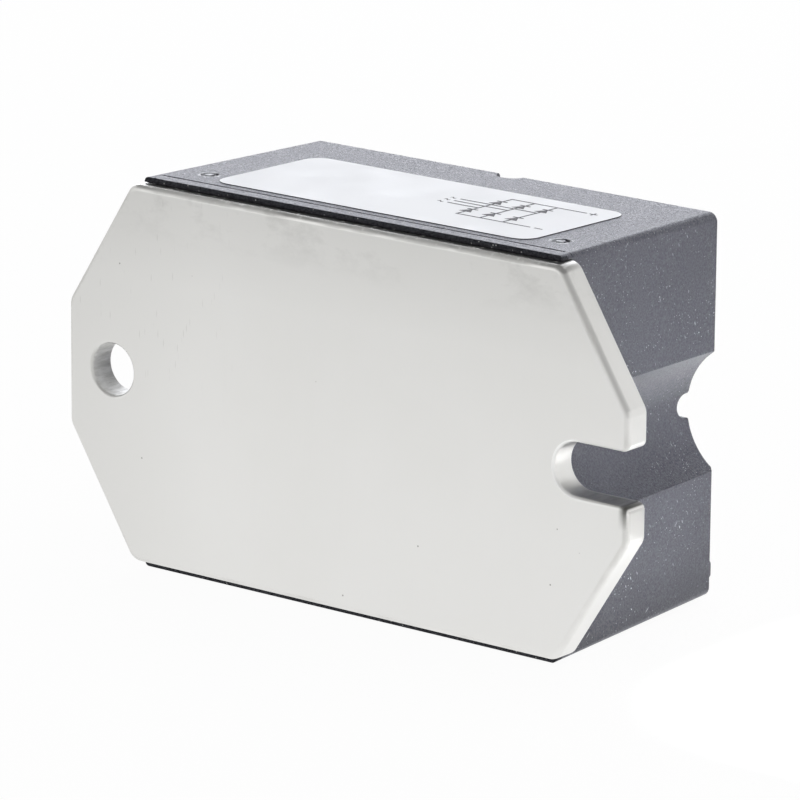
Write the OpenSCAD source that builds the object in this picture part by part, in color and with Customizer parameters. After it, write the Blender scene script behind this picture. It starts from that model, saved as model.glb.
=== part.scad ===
// Three-phase bridge rectifier module with five screw terminals, standing on one long side.
// Every piece is drawn lying flat, mounting face down at z = 0 and label side towards -y,
// and is then stood up: mounting face towards -y, terminals towards +y, label side up.

/* [Base plate] */
// Length of the base plate over both ears
plate_l = 72; // [68:0.5:78]
// Width of the base plate
plate_w = 40.2; // [38:0.1:44]
// Thickness of the base plate
plate_t = 3; // [2:0.1:5]
// Length of the straight long edges between the slanted ear edges
straight_l = 55; // [53:0.5:58]
// Width of the blunt end of each ear
ear_w = 13.2; // [11:0.2:18]
// Corner radius of the outline
plate_corner_r = 1.6; // [1:0.1:3]
// Radius of the rolled edge round the mounting face
plate_roll_r = 0.7; // [0.3:0.1:0.9]
// Distance between the two mounting axes
mount_pitch = 60; // [58:0.5:63]
// Diameter of the mounting hole and width of the mounting slot
mount_d = 5.5; // [4.5:0.1:6.5]
// How far the round end of the slot is moved inboard of its mounting axis
slot_inset = 0.25; // [0:0.05:0.5]
// Radius of the soft edges of the hole and the slot on the mounting face
mount_edge_r = 0.35; // [0.1:0.05:0.6]
// Radius of the two corners at the mouth of the slot
slot_mouth_r = 0.8; // [0.3:0.1:1.5]

/* [Housing] */
// Height of the terminal face over the mounting face
housing_h = 28.6; // [27:0.1:34]
// How far each end of the housing stops short of the straight plate edges
end_inset = 0.8; // [0.2:0.1:1.2]
// How far the foot of the housing stands out past each long plate edge
side_proud = 0.65; // [0.4:0.05:1.2]
// How far each side leans in between the foot and the terminal face
draft = 0.6; // [0.2:0.1:0.8]
// Depth of the lip that reaches down beside the long plate edges
lip_h = 1.65; // [0.4:0.05:1.9]
// Clearance between that lip and the plate edge
lip_clear = 0.08; // [0.05:0.01:0.15]
// Thickness of the side walls at the terminal face
wall_t = 2.2; // [1.5:0.1:2.4]
// Thickness of the wall under the terminal face
top_t = 4; // [3.2:0.1:5]
// Radius of the upright corners at the foot
foot_corner_r = 0.5; // [0.3:0.1:1.5]
// Radius of the upright corners at the terminal face
corner_r = 1; // [0.6:0.1:1.8]
// Width of the broken edge round the terminal face
edge_break = 0.4; // [0.2:0.1:0.5]
// Radius of the scallop over each mounting axis
scallop_r = 7.4; // [6.5:0.1:7.8]
// How far the scallops and the long groove lie off the centre line, towards the phase row
centre_shift = 0.5; // [0:0.1:0.6]
// Height of the fine line over the lower edge of the long sides
foot_line_h = 1.7; // [1.5:0.1:3]
// Width of the fine line
foot_line_w = 0.25; // [0.15:0.05:0.4]
// How far the fine line stops short of each end
foot_line_end = 1; // [0.8:0.1:3]
// Depth of the fine line and of the two round marks
fine_depth = 0.2; // [0.1:0.05:0.3]
// Width of the long groove between the two rows of terminals
long_groove_w = 2.6; // [2:0.1:3.5]
// Depth of the long groove
long_groove_d = 1.8; // [1.5:0.1:2.6]
// Radius of the round grooves between neighbouring terminals
cross_groove_r = 1.6; // [1.2:0.05:1.8]
// Radius of the soft lips of all grooves
groove_lip_r = 0.25; // [0.1:0.05:0.4]
// Diameter of the two round marks on the label side
mark_d = 1.9; // [1.4:0.1:2.5]
// Diameter of the core left standing in each mark
mark_core_d = 1; // [0.5:0.1:1.2]
// Distance between the two marks
mark_pitch = 45; // [44:0.2:47]
// Height of the marks over the mounting face
mark_h = 6.7; // [6:0.1:10]
// Width of the raised bar at the two outer corners of the phase row
corner_bar_w = 1.9; // [1:0.1:2.5]
// Length of the raised corner bar
corner_bar_l = 2.2; // [1.5:0.1:2.6]
// Height of the raised corner bar
corner_bar_h = 0.4; // [0.2:0.1:0.8]
// Distance of the raised corner bar from the long centre line
corner_bar_y = 17.5; // [16:0.1:18]

/* [Label] */
// Length of the label
label_l = 40.3; // [30:0.1:42]
// Height of the label
label_w = 17.1; // [10:0.1:18]
// Thickness of the label
label_t = 0.08; // [0.05:0.01:0.2]
// Corner radius of the label
label_r = 2; // [0.5:0.1:3]
// Height of the label's centre over the mounting face
label_h = 12.75; // [12.5:0.05:15]

/* [Terminals] */
// Distance between neighbouring phase terminals
ac_pitch = 16; // [15.5:0.1:17]
// Distance between the plus and minus terminals
dc_pitch = 27; // [24:0.5:30]
// Distance of the terminal screws from the long centre line
terminal_y = 11.5; // [11:0.1:11.6]
// Width of the terminal tabs
tab_w = 11; // [10:0.1:11.4]
// Thickness of the terminal strips
strip_t = 0.8; // [0.6:0.1:1]
// Bend radius of the terminal strips, at the middle of their thickness
bend_r = 1.2; // [0.8:0.1:1.3]
// How far the tabs stand out of the terminal face
tab_proud = 0.3; // [0:0.1:0.5]
// How far the tabs reach past the screws towards the centre line
tab_nose = 5.2; // [5:0.1:6]
// Radius of the corners at the nose of each tab
tab_corner_r = 1.5; // [0.5:0.1:2.5]
// Width of the strips inside the housing
leg_w = 4; // [3:0.1:4.2]
// Height of the sideways run of the strips over the mounting face
jog_h = 11; // [10.5:0.1:14]
// Length of the soldered foot of each strip
foot_l = 4; // [3:0.1:4.4]
// Gap between the strips and the inside of the long walls
leg_gap = 0.35; // [0.25:0.05:0.4]
// Clearance round the tabs in their seats
slot_clear = 0.15; // [0.1:0.05:0.2]

/* [Screws] */
// Nominal diameter of the terminal screws
screw_d = 5; // [4:0.5:5]
// Length of the terminal screws under the head
screw_l = 10; // [9:0.5:11]
// Bevel at the tip of the terminal screws
tip_bevel = 0.6; // [0.3:0.1:1]
// Diameter of the screw heads
head_d = 9.5; // [7:0.1:10]
// Height of the screw heads
head_h = 3.7; // [3:0.1:4]
// Radius of the round shoulder of the screw heads
dome_r = 7; // [6:0.5:12]
// Diameter of the flat crown of the screw heads
crown_d = 5.6; // [5.2:0.1:6.8]
// Length of the arms of the cross recess
recess_l = 5; // [3:0.1:5.2]
// Width of the arms of the cross recess
recess_w = 1.2; // [0.8:0.1:1.6]
// Depth of the cross recess
recess_depth = 2; // [1:0.1:2.4]
// Width of the captive nuts across their flats
nut_af = 8; // [7:0.1:8.1]
// Height of the captive nuts
nut_h = 4; // [3:0.1:4.2]
// Clearance round and under the captive nuts
nut_clear = 0.1; // [0.05:0.05:0.15]
// Wall round the nut wells below the terminal wall
boss_wall = 1; // [0.8:0.1:1.1]
// Thickness of the floor under each screw well
boss_floor = 1.2; // [0.8:0.1:1.6]
// Outer diameter of the flat washers
flat_od = 10; // [9:0.1:10.4]
// Thickness of the flat washers
flat_t = 1; // [0.6:0.1:1.2]
// Outer diameter of the spring washers
spring_od = 9.2; // [8:0.1:9.4]
// Thickness of the spring washers
spring_t = 1.2; // [0.8:0.1:1.4]
// Width of the split in the spring washers
split_w = 0.8; // [0.4:0.1:1.2]
// Slope of that split
split_slope = 30; // [15:1:40]
// Gap between a screw and the nut, tab and washers round it, on its radius
bore_clear = 0.1; // [0.05:0.05:0.2]
// Room below the tip of each screw
tip_clear = 0.4; // [0.2:0.1:0.8]

/* [Circuit] */
// Width of the ceramic tile
tile_w = 32; // [31.4:0.1:34]
// Gap between the ends of the tile and the scallop walls
tile_clear = 0.6; // [0.3:0.1:1]
// Thickness of the ceramic tile
tile_t = 0.63; // [0.38:0.01:1]
// Thickness of the copper foil on both faces of the tile
foil_t = 0.3; // [0.2:0.05:0.5]
// Bare margin of the tile round the foil
foil_margin = 0.5; // [0.3:0.1:0.8]
// Gap between neighbouring tracks
foil_gap = 1; // [0.6:0.1:1.2]
// Width of the row of phase tracks
ac_row_w = 11.8; // [11.4:0.1:12.2]
// Side of the square diode chips
chip_w = 5.6; // [4:0.1:5.8]
// Thickness of the diode chips
chip_t = 0.4; // [0.25:0.05:0.6]
// Distance of chips and landings from the edge of their track
solder_edge = 0.4; // [0.2:0.1:0.5]
// Width of the connecting clips
clip_w = 3; // [2:0.1:4]
// Thickness of the connecting clips
clip_t = 0.5; // [0.3:0.05:0.6]
// Bend radius of the clips, at the middle of their thickness
clip_bend_r = 0.6; // [0.4:0.05:0.7]
// Length of the flat ends of the clips
landing_l = 2.6; // [2.2:0.1:2.8]
// Height of the arch of the clips over the chips
clip_rise = 1.5; // [1.4:0.1:2.5]
// Height of the gel over the mounting face
gel_h = 9; // [8:0.1:10]

/* [Hidden] */
$fn = 64;
eps = 0.01;
outline_fn = 32;
roll_steps = 4;

// Base plate and housing
mount_x = mount_pitch / 2;
slot_x = mount_x - slot_inset;
ear_corners = [
    [plate_l, -ear_w] / 2,
    [plate_l, ear_w] / 2,
    [straight_l, plate_w] / 2,
    [-straight_l, plate_w] / 2
];
foot_z = plate_t - lip_h;
foot_l_out = straight_l - 2 * end_inset;
foot_w_out = plate_w + 2 * side_proud;
block_h = housing_h - foot_z - edge_break;
top_l = foot_l_out - 2 * draft;
top_w = foot_w_out - 2 * draft;
cavity_l = top_l - 2 * wall_t;
cavity_w = top_w - 2 * wall_t;
cavity_top = housing_h - top_t;
lean_angle = atan(draft / block_h);

// Heights of the layers of the circuit
tile_z = plate_t + foil_t;
pad_z = tile_z + tile_t;
chip_z = pad_z + foil_t;
clip_z = chip_z + chip_t;

// Tracks, chips and landings
tile_l = mount_pitch - 2 * (scallop_r + wall_t + tile_clear);
field_l = tile_l - 2 * foil_margin;
field_w = tile_w - 2 * foil_margin;
ac_pad_l = (field_l - 2 * foil_gap) / 3;
rail_y = ac_row_w / 2 + foil_gap;
rail_w = field_w / 2 - rail_y;
row_step = ac_row_w + foil_gap;
lower_chip_y = ac_row_w / 2 - solder_edge - chip_w / 2;
landing_step = rail_y + solder_edge + landing_l / 2 - lower_chip_y;
leg_side = [-1, -1, 1];

// Terminals
strip_out = cavity_w / 2 - leg_gap - strip_t / 2;
tab_top = housing_h + tab_proud;
seat_z = tab_top - strip_t;
shoulder_z = cavity_top - strip_t;
nose_y = terminal_y - tab_nose;
nut_z = seat_z - nut_h;
head_z = tab_top + flat_t + spring_t;
tip_z = head_z - screw_l;
well_z = tip_z - tip_clear;
bore_r = screw_d / 2 + bore_clear;
overall_h = head_z + head_h;

// Terminals in the order plus, minus, phase 1 to 3: along x, and which side of the centre line
terminal_x = [-dc_pitch / 2, dc_pitch / 2, -ac_pitch, 0, ac_pitch];
terminal_side = [-1, -1, 1, 1, 1];

function pad_x(i) = (i - 1) * (ac_pad_l + foil_gap);
function leg_x(i) = pad_x(i) + leg_side[i] * (ac_pad_l / 2 - solder_edge - leg_w / 2);
function chip_x(i) = pad_x(i) - leg_side[i] * (ac_pad_l / 2 - solder_edge - chip_w / 2);
function wall_y(z) = foot_w_out / 2 - draft * (z - foot_z) / block_h;
function unit(v) = v / norm(v);

// Stands the flat drawing up, with the middle of its lowest edge at the origin
module stand_up() {
    translate([0, -overall_h / 2, foot_w_out / 2]) rotate([-90, 0, 0]) children();
}

module rounded_square(l, w, r) {
    square([l - 2 * r, w], center = true);
    square([l, w - 2 * r], center = true);
    for (x = [-1, 1], y = [-1, 1]) translate([x * (l / 2 - r), y * (w / 2 - r)]) circle(r);
}

// A tapered block between two rounded outlines, each given as length, width and corner radius
module tapered_block(z0, size0, z1, size1) {
    hull() {
        translate([0, 0, z0]) linear_extrude(eps) rounded_square(size0[0], size0[1], size0[2]);
        translate([0, 0, z1 - eps]) linear_extrude(eps) rounded_square(size1[0], size1[1], size1[2]);
    }
}

// One right-angled bend of a strip: centre, quadrant, radius and thickness
module strip_bend(centre, quadrant, r, t) {
    reach = r + t;
    translate(centre) intersection() {
        difference() {
            circle(r + t / 2);
            circle(r - t / 2);
        }
        translate([min(0, quadrant.x * reach), min(0, quadrant.y * reach)]) square(reach);
    }
}

// Side view of a bent strip along points that turn at right angles
module strip_profile(points, r, t) {
    last = len(points) - 1;
    for (i = [0:last - 1]) {
        way = unit(points[i + 1] - points[i]);
        start = points[i] + (i > 0 ? r : 0) * way;
        stop = points[i + 1] - (i < last - 1 ? r : 0) * way;
        size = [max(abs(stop.x - start.x), t), max(abs(stop.y - start.y), t)];
        translate((start + stop) / 2) square(size, center = true);
    }
    for (i = [1:last - 1]) {
        way_in = unit(points[i] - points[i - 1]);
        way_out = unit(points[i + 1] - points[i]);
        strip_bend(points[i] + r * (way_out - way_in), way_in - way_out, r, t);
    }
}

// Sweeps a side view, drawn as y and z, along x
module across(w) {
    rotate([90, 0, 90]) linear_extrude(w, center = true) children();
}

// What is cut away to round an edge of radius r: a corner square less a quarter disc
module edge_cut(r) {
    difference() {
        translate([-eps, -eps]) square(r + eps);
        translate([r, r]) circle(r);
    }
}

// Outline of the plate, drawn in by some amount
module plate_outline(inset) {
    offset(r = plate_corner_r - inset, $fn = outline_fn) offset(delta = -plate_corner_r)
        polygon(concat(ear_corners, -ear_corners));
}

// The plate's blank, with its edge rolled over towards the mounting face and its back cut flat
module plate_blank() {
    spare = plate_t;
    difference() {
        hull() for (i = [0:roll_steps]) {
            a = 90 * i / roll_steps;
            z = plate_roll_r * (1 - sin(a));
            translate([0, 0, z]) linear_extrude(plate_t + spare - z)
                plate_outline(plate_roll_r * (1 - cos(a)));
        }
        translate([-plate_l, -plate_w, plate_t]) cube([2 * plate_l, 2 * plate_w, 2 * spare]);
    }
}

module base_plate() {
    slot_r = mount_d / 2;
    run = plate_l / 2 - slot_x + eps;
    color([0.85, 0.85, 0.83]) stand_up() difference() {
        plate_blank();
        for (x = [-mount_x, slot_x]) translate([x, 0, 0]) {
            translate([0, 0, -eps]) cylinder(h = plate_t + 2 * eps, d = mount_d);
            rotate_extrude() translate([slot_r, 0]) edge_cut(mount_edge_r);
        }
        translate([slot_x, -slot_r, -eps]) cube([run, mount_d, plate_t + 2 * eps]);
        for (y = [0, 1]) mirror([0, y, 0]) {
            translate([slot_x + run / 2, slot_r, 0]) across(run) edge_cut(mount_edge_r);
            translate([plate_l / 2, slot_r, -eps]) linear_extrude(plate_t + 2 * eps)
                mirror([1, 0]) edge_cut(slot_mouth_r);
        }
    }
}

// One upright cylinder over each ear
module scallops(h, r) {
    for (x = [-mount_x, mount_x]) translate([x, centre_shift, 0]) cylinder(h = h, r = r);
}

// The room inside the housing, between two heights
module room(z0, z1) {
    difference() {
        translate([-cavity_l / 2, -cavity_w / 2, z0]) cube([cavity_l, cavity_w, z1 - z0]);
        translate([0, 0, z0 - eps]) scallops(z1 - z0 + 2 * eps, scallop_r + wall_t);
    }
}

// Outside of the housing before anything is cut from it: drafted sides under a 45 degree broken edge.
// Each of the two blocks ends inside the other, so only their slanted faces and flat ends remain.
module housing_block() {
    top = [top_l, top_w, corner_r];
    foot = [foot_l_out, foot_w_out, foot_corner_r];
    full_h = block_h + edge_break;
    wide = [2 * block_h, 2 * block_h, block_h];
    intersection() {
        tapered_block(foot_z - eps, foot, housing_h, foot + (top - foot) * full_h / block_h);
        tapered_block(foot_z, top + wide, housing_h + eps, top - wide * edge_break / block_h);
    }
}

// Room for one terminal: the seat of its tab, the slot for its strip, its nut and its screw
module terminal_room(side) {
    seat_w = tab_w + 2 * slot_clear;
    seat_end = strip_out + strip_t / 2 + slot_clear;
    slot_start = strip_out - strip_t / 2 - slot_clear;
    relief = strip_out - bend_r - slot_clear;
    cut_top = housing_h + eps;
    mirror([0, side < 0 ? 1 : 0, 0]) {
        translate([-seat_w / 2, nose_y - slot_clear, seat_z])
            cube([seat_w, seat_end - nose_y + slot_clear, cut_top - seat_z]);
        translate([-seat_w / 2, slot_start, cavity_top - eps])
            cube([seat_w, seat_end - slot_start, cut_top - cavity_top]);
        translate([-seat_w / 2, relief, seat_z - bend_r])
            cube([seat_w, seat_end - relief, cut_top - seat_z + bend_r]);
        translate([0, terminal_y, nut_z - nut_clear])
            cylinder(h = nut_h + 2 * nut_clear, d = (nut_af + 2 * nut_clear) / cos(30), $fn = 6);
        translate([0, terminal_y, well_z]) cylinder(h = cut_top - well_z, r = bore_r + nut_clear);
    }
}

// Material round one nut, kept clear of the strip that passes behind it
module nut_boss() {
    boss_z = well_z - boss_floor;
    boss_h = cavity_top - boss_z + eps;
    boss_d = (nut_af + 2 * (nut_clear + boss_wall)) / cos(30);
    intersection() {
        translate([0, terminal_y, boss_z]) cylinder(h = boss_h, d = boss_d, $fn = 6);
        translate([-boss_d, 0, boss_z]) cube([2 * boss_d, strip_out - strip_t / 2 - slot_clear, boss_h]);
    }
}

// Section of a groove with a round bottom and soft lips, its mouth at y = 0
module groove_section(r, depth) {
    translate([0, r - depth]) circle(r);
    translate([-r, r - depth]) square([2 * r, depth - r + eps]);
    for (side = [0, 1]) mirror([side, 0]) translate([r, 0]) mirror([0, 1]) edge_cut(groove_lip_r);
}

// A round groove from the centre line to one long side
module cross_groove() {
    rotate([90, 0, 0]) linear_extrude(foot_w_out)
        groove_section(cross_groove_r, cross_groove_r + groove_lip_r);
}

module creepage_grooves() {
    translate([0, 0, housing_h]) {
        translate([0, centre_shift, 0]) across(top_l) groove_section(long_groove_w / 2, long_groove_d);
        cross_groove();
        for (x = [-1, 1]) translate([x * ac_pitch / 2, 0, 0]) mirror([0, 1, 0]) cross_groove();
    }
}

module fine_marks() {
    line_z = foot_z + foot_line_h;
    for (y = [-1, 1])
        translate([0, y * (wall_y(line_z) + foot_line_h / 2 - fine_depth), line_z])
            cube([foot_l_out - 2 * foot_line_end, foot_line_h, foot_line_w], center = true);
    for (x = [-1, 1])
        translate([x * mark_pitch / 2, fine_depth - wall_y(mark_h), mark_h])
            rotate([90, 0, 0]) difference() {
                cylinder(h = mark_d, d = mark_d);
                cylinder(h = mark_d, d = mark_core_d);
            }
}

module housing() {
    color([0.3, 0.3, 0.32]) stand_up() {
        difference() {
            housing_block();
            translate([-plate_l / 2, -plate_w / 2 - lip_clear, 0])
                cube([plate_l, plate_w + 2 * lip_clear, plate_t]);
            difference() {
                room(plate_t - eps, cavity_top);
                for (i = [0:4]) translate([terminal_x[i], 0, 0])
                    mirror([0, terminal_side[i] < 0 ? 1 : 0, 0]) nut_boss();
            }
            scallops(housing_h + eps, scallop_r);
            for (i = [0:4]) translate([terminal_x[i], 0, 0]) terminal_room(terminal_side[i]);
            creepage_grooves();
            fine_marks();
        }
        for (x = [-1, 1])
            translate([x * (top_l / 2 - edge_break - corner_bar_l / 2), corner_bar_y, housing_h - eps])
                linear_extrude(corner_bar_h + eps)
                    rounded_square(corner_bar_l, corner_bar_w, corner_bar_h);
    }
}

module label() {
    color([0.93, 0.93, 0.96]) stand_up()
        translate([0, -wall_y(label_h), label_h]) rotate([90 - lean_angle, 0, 0])
            linear_extrude(label_t) rounded_square(label_l, label_w, label_r);
}

module flat_track(x, y, l, w, z, t) {
    translate([x - l / 2, y - w / 2, z]) cube([l, w, t]);
}

module dcb_bottom_copper_flat() flat_track(0, 0, field_l, field_w, plate_t, foil_t);
module dcb_ceramic_flat() flat_track(0, 0, tile_l, tile_w, tile_z, tile_t);
module pad_rail_flat(side) flat_track(0, side * (rail_y + rail_w / 2), field_l, rail_w, pad_z, foil_t);
module pad_ac_flat(i) flat_track(pad_x(i), 0, ac_pad_l, ac_row_w, pad_z, foil_t);

module diode_flat(row, i) {
    flat_track(chip_x(i), lower_chip_y - (1 - row) * row_step, chip_w, chip_w, chip_z, chip_t);
}

// A clip that arches from the top of a chip to the next track
module clip_flat(row, i) {
    first_rise = landing_l / 2 + clip_t / 2;
    last_rise = landing_step - first_rise;
    low_z = chip_z + clip_t / 2;
    chip_top_z = clip_z + clip_t / 2;
    arch_z = chip_top_z + clip_rise;
    translate([chip_x(i), lower_chip_y - (1 - row) * row_step, 0]) across(clip_w)
        strip_profile([
            [-landing_l / 2, chip_top_z],
            [first_rise, chip_top_z],
            [first_rise, arch_z],
            [last_rise, arch_z],
            [last_rise, low_z],
            [landing_step + landing_l / 2, low_z]
        ], clip_bend_r, clip_t);
}

// The part of a terminal strip inside the housing: foot, leg and sideways run
module terminal_leg(x, side, leg_y, foot_way) {
    foot_zc = chip_z + strip_t / 2;
    translate([x, 0, 0]) across(leg_w)
        strip_profile([
            [leg_y + foot_way * (foot_l - strip_t / 2), foot_zc],
            [leg_y, foot_zc],
            [leg_y, jog_h],
            [side * strip_out, jog_h],
            [side * strip_out, shoulder_z + eps]
        ], bend_r, strip_t);
}

// The part of a terminal strip that passes the housing and folds over the nut
module terminal_tab(x, side) {
    tab_zc = tab_top - strip_t / 2;
    plan_l = 2 * (strip_out + strip_t - nose_y);
    translate([x, 0, 0]) difference() {
        intersection() {
            across(tab_w)
                strip_profile([
                    [side * strip_out, shoulder_z],
                    [side * strip_out, tab_zc],
                    [side * nose_y, tab_zc]
                ], bend_r, strip_t);
            translate([0, side * (nose_y + plan_l / 2), 0])
                linear_extrude(overall_h) rounded_square(tab_w, plan_l, tab_corner_r);
        }
        translate([0, side * terminal_y, seat_z - eps]) cylinder(h = strip_t + 2 * eps, r = bore_r);
    }
}

// Legs in the order of the terminals: both rails end near the outer edge, the phases near the middle
module leg_of(k) {
    rail_leg_y = field_w / 2 - solder_edge - foot_l + strip_t / 2;
    phase_leg_y = ac_row_w / 2 - solder_edge - strip_t / 2;
    if (k == 0) terminal_leg(leg_x(0), -1, -rail_leg_y, -1);
    if (k == 1) terminal_leg(chip_x(2), -1, rail_leg_y, 1);
    if (k > 1) terminal_leg(leg_x(k - 2), 1, phase_leg_y, -1);
}

module terminal(k) {
    color([0.8, 0.79, 0.76]) stand_up() {
        leg_of(k);
        terminal_tab(terminal_x[k], terminal_side[k]);
    }
}

// Places a child on each of the five terminal axes
module at_terminals() {
    stand_up() for (i = [0:4])
        translate([terminal_x[i], terminal_side[i] * terminal_y, 0]) children();
}

module nut_solid() {
    corner_d = nut_af / cos(30);
    bevel = (corner_d - nut_af) / 2;
    translate([0, 0, nut_z]) difference() {
        cylinder(h = nut_h, d = corner_d, $fn = 6);
        translate([0, 0, -eps]) cylinder(h = nut_h + 2 * eps, r = bore_r);
        rotate_extrude() polygon([
            [nut_af / 2, nut_h + eps],
            [nut_af, nut_h + eps],
            [nut_af, nut_h - 2 * bevel],
            [corner_d / 2 + eps, nut_h - bevel]
        ]);
    }
}

module ring(od, t, z) {
    translate([0, 0, z]) difference() {
        cylinder(h = t, d = od);
        translate([0, 0, -eps]) cylinder(h = t + 2 * eps, r = bore_r);
    }
}

module spring_washer() {
    difference() {
        ring(spring_od, spring_t, tab_top + flat_t);
        translate([spring_od / 2, 0, tab_top + flat_t + spring_t / 2]) rotate([split_slope, 0, 0])
            cube([spring_od, split_w, 2 * spring_od], center = true);
    }
}

module screw_solid() {
    dome_depth = sqrt(pow(dome_r, 2) - pow(crown_d / 2, 2));
    translate([0, 0, head_z]) difference() {
        intersection() {
            cylinder(h = head_h, d = head_d);
            translate([0, 0, head_h - dome_depth]) sphere(dome_r);
        }
        for (a = [0, 90]) rotate(a) translate([-recess_l / 2, -recess_w / 2, head_h - recess_depth])
            cube([recess_l, recess_w, recess_depth + eps]);
    }
    translate([0, 0, tip_z + tip_bevel]) cylinder(h = screw_l - tip_bevel, d = screw_d);
    translate([0, 0, tip_z]) cylinder(h = tip_bevel, d1 = screw_d - 2 * tip_bevel, d2 = screw_d);
}

module terminal_nuts() color([0.75, 0.75, 0.73]) at_terminals() nut_solid();
module flat_washers() color([0.78, 0.78, 0.77]) at_terminals() ring(flat_od, flat_t, tab_top);
module spring_washers() color([0.74, 0.74, 0.73]) at_terminals() spring_washer();
module terminal_screws() color([0.8, 0.8, 0.78]) at_terminals() screw_solid();

module gel_fill() {
    color([0.9, 0.92, 0.93, 0.6]) stand_up() difference() {
        room(plate_t, gel_h);
        dcb_bottom_copper_flat();
        dcb_ceramic_flat();
        for (side = [-1, 1]) pad_rail_flat(side);
        for (i = [0:2]) pad_ac_flat(i);
        for (row = [0, 1], i = [0:2]) {
            diode_flat(row, i);
            clip_flat(row, i);
        }
        for (k = [0:4]) leg_of(k);
    }
}

module dcb_bottom_copper() color([0.78, 0.5, 0.32]) stand_up() dcb_bottom_copper_flat();
module dcb_ceramic() color([0.95, 0.94, 0.9]) stand_up() dcb_ceramic_flat();
module pad_rail(side) color([0.78, 0.5, 0.32]) stand_up() pad_rail_flat(side);
module pad_ac(i) color([0.78, 0.5, 0.32]) stand_up() pad_ac_flat(i);
module diode(row, i) color([0.35, 0.36, 0.4]) stand_up() diode_flat(row, i);
module clip(row, i) color([0.8, 0.55, 0.38]) stand_up() clip_flat(row, i);

rows = ["upper", "lower"];
terminal_names = ["terminal_plus", "terminal_minus", "terminal_ac_1", "terminal_ac_2", "terminal_ac_3"];

base_plate();
housing();
label();
dcb_bottom_copper();
dcb_ceramic();
pad_rail(-1);  // pad_plus
pad_rail(1);  // pad_minus
for (i = [0:2]) pad_ac(i);
for (r = [0, 1], i = [0:2]) diode(r, i);
for (r = [0, 1], i = [0:2]) clip(r, i);
for (k = [0:4]) terminal(k);
terminal_nuts();
flat_washers();
spring_washers();
terminal_screws();
gel_fill();
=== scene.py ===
import math
import bpy
from mathutils import Matrix, Vector


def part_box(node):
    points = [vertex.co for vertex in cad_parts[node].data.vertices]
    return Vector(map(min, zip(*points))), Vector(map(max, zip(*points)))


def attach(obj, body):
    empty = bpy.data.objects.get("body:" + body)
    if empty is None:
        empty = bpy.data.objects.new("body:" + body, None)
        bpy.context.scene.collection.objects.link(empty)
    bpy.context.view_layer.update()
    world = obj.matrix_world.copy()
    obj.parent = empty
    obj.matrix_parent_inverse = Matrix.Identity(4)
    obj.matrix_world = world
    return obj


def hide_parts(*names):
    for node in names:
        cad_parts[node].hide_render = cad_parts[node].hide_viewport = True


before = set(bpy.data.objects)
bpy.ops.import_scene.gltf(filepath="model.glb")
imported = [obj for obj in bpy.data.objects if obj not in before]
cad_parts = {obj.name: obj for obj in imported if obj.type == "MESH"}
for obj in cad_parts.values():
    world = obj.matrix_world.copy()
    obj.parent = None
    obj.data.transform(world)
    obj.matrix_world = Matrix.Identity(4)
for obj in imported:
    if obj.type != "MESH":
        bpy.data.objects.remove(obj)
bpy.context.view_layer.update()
mm = 0.001
touch = 0.01 * mm  # places closer than this are the same
print("frame loaded with", len(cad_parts), "nodes")


# small helpers for working the way it is done by hand
handwork = {
    "merge": 0.0005,  # mm within which the points of a copied mesh are one
    "flat": 0.3,  # degrees within which its faces are one
    "normalWeight": 80,  # how much large faces rule the shading of their edges
    "sharp": 50,  # degrees from which an edge is softened
    "softSteps": 2,
    "softSmooth": 35,  # degrees up to which a softened piece is shaded smooth
}


def deselectAll():
    if bpy.context.object and bpy.context.object.mode != "OBJECT":
        bpy.ops.object.mode_set(mode="OBJECT")
    bpy.ops.object.select_all(action="DESELECT")


def activate(piece):
    deselectAll()
    piece.select_set(True)
    bpy.context.view_layer.objects.active = piece


def named(name):
    piece = bpy.context.object
    piece.name = name
    piece.data.name = name
    return piece


def applyPlace(piece):
    activate(piece)
    bpy.ops.object.transform_apply(location=True, rotation=True, scale=True)


def enterEdit(piece, kind, action):
    activate(piece)
    bpy.ops.object.mode_set(mode="EDIT")
    bpy.ops.mesh.select_mode(type=kind)
    bpy.ops.mesh.select_all(action=action)


def leaveEdit():
    bpy.ops.object.mode_set(mode="OBJECT")


def editAll(piece):
    enterEdit(piece, "VERT", "SELECT")


# selects the points for which test(place) holds, and stays in edit mode
def editPoints(piece, test):
    enterEdit(piece, "VERT", "DESELECT")
    leaveEdit()
    for point in piece.data.vertices:
        point.select = bool(test(point.co))
    bpy.ops.object.mode_set(mode="EDIT")


# selects the edges for which test(middle, along) holds, and stays in edit mode
def editEdges(piece, test):
    enterEdit(piece, "EDGE", "DESELECT")
    leaveEdit()
    points = piece.data.vertices
    for edge in piece.data.edges:
        first, last = (points[i].co for i in edge.vertices)
        edge.select = bool(test((first + last) / 2, last - first))
    bpy.ops.object.mode_set(mode="EDIT")


def useModifier(piece, kind, **settings):
    activate(piece)
    added = piece.modifiers.new(kind.lower(), kind)
    for key, value in settings.items():
        setattr(added, key, value)
    bpy.ops.object.modifier_apply(modifier=added.name)


def cutAway(piece, cutter):
    useModifier(piece, "BOOLEAN", operation="DIFFERENCE", object=cutter, solver="EXACT")
    bpy.data.objects.remove(cutter, do_unlink=True)


def smoothShade(piece, angle):
    activate(piece)
    bpy.ops.object.shade_smooth_by_angle(angle=math.radians(angle))
    useModifier(piece, "WEIGHTED_NORMAL", weight=handwork["normalWeight"], keep_sharp=True)


def softenEdges(piece, wide):
    useModifier(piece, "BEVEL", width=wide * mm, segments=handwork["softSteps"],
                limit_method="ANGLE", angle_limit=math.radians(handwork["sharp"]))
    smoothShade(piece, handwork["softSmooth"])


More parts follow.
